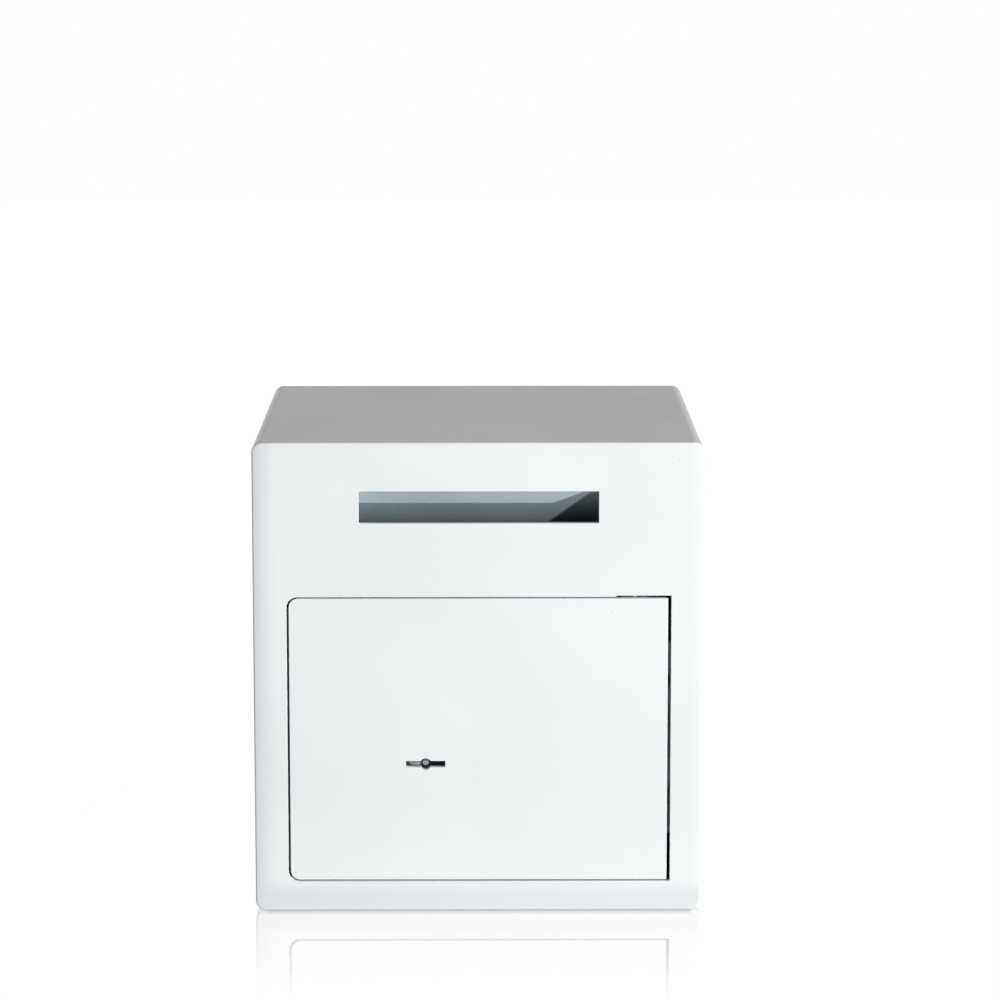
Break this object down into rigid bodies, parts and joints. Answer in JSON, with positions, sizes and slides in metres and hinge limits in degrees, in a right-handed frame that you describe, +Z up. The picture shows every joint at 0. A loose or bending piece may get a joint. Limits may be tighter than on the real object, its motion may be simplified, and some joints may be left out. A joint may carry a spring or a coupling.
{
  "type": "deposit safe",
  "caption": "White powder-coated steel deposit safe: a fixed front slot and inner chute above a flush key-locked door on concealed pins, with sliding live bolts behind it.",
  "frame": {"origin": "centre of the base, on the surface the safe stands on", "axes": "+Z up, the front with the slot and door faces -Y, +X to the right seen from the front"},
  "size_m": [0.35, 0.345, 0.372],
  "materials": {
    "cabinet_paint": "satin white powder coat with a fine orange-peel texture",
    "door_paint": "satin white powder coat with a fine orange-peel texture",
    "inner_paint": "thin pale grey powder coat on inner sheet parts",
    "bright_zinc": "bright zinc plating",
    "plain_steel": "machined mild steel, lightly oiled",
    "hard_steel": "blackened hardened steel",
    "brass": "machined brass"
  },
  "bodies": {
    "cabinet": {"body_shell": "cabinet_paint", "front_plate": "cabinet_paint", "rear_plate": "cabinet_paint", "deposit_deflector": "inner_paint", "chute_floor": "inner_paint", "chute_cheek_left": "inner_paint", "chute_cheek_right": "inner_paint", "door_stop_left": "inner_paint", "door_stop_top": "inner_paint", "door_stop_bottom": "inner_paint", "hinge_bracket_upper": "inner_paint", "hinge_bracket_lower": "inner_paint", "hinge_thrust_washer": "brass"},
    "door": {"door_plate": "door_paint", "hinge_block_upper": "plain_steel", "hinge_block_lower": "plain_steel", "hinge_pin_upper": "bright_zinc", "hinge_pin_lower": "bright_zinc", "hinge_side_dog": "hard_steel", "bolt_guide": "bright_zinc", "boltwork_cover": "inner_paint", "hard_plate": "hard_steel", "lock_case": "bright_zinc", "lock_cover": "bright_zinc", "lever_springs": "brass", "rotor_plate": "bright_zinc", "key_post": "plain_steel", "cover_pillar_1": "bright_zinc", "cover_pillar_2": "bright_zinc", "cover_pillar_3": "bright_zinc", "cover_pillar_4": "bright_zinc", "cover_screw_1": "bright_zinc", "cover_screw_2": "bright_zinc", "cover_screw_3": "bright_zinc", "cover_screw_4": "bright_zinc", "lock_screw_1": "bright_zinc", "lock_screw_2": "bright_zinc", "lock_screw_3": "bright_zinc", "lock_screw_4": "bright_zinc", "lever_post_1": "plain_steel", "lever_post_2": "plain_steel", "lever_1": "plain_steel", "lever_2": "plain_steel", "lever_3": "plain_steel", "lever_4": "plain_steel", "lever_5": "plain_steel"},
    "rotor": {"lock_rotor": "plain_steel", "drive_pin": "plain_steel"},
    "boltwork": {"lock_bolt": "brass", "lock_bolt_stump": "plain_steel", "bolt_bar": "bright_zinc", "live_bolt_lower": "bright_zinc", "live_bolt_upper": "bright_zinc", "bolt_screw_lower": "bright_zinc", "bolt_screw_upper": "bright_zinc"}
  },
  "joints": [
    {"name": "door_swing", "type": "hinge", "parent": "cabinet", "child": "door", "pos_m": [0.1222, -0.1625, 0.1371], "axis": [0, 0, 1], "range_deg": [0, 105]},
    {"name": "bolt_throw", "type": "slide", "parent": "door", "child": "boltwork", "axis": [-1, 0, 0], "range_m": [0, 0.02]},
    {"name": "rotor_turn", "type": "hinge", "parent": "door", "child": "rotor", "pos_m": [-0.0411, -0.1498, 0.1177], "axis": [0, 1, 0], "range_deg": [0, 180]}
  ],
  "couplings": [
    {"joint": "rotor_turn", "follows": "bolt_throw", "rad_per_m": 157.08}
  ]
}
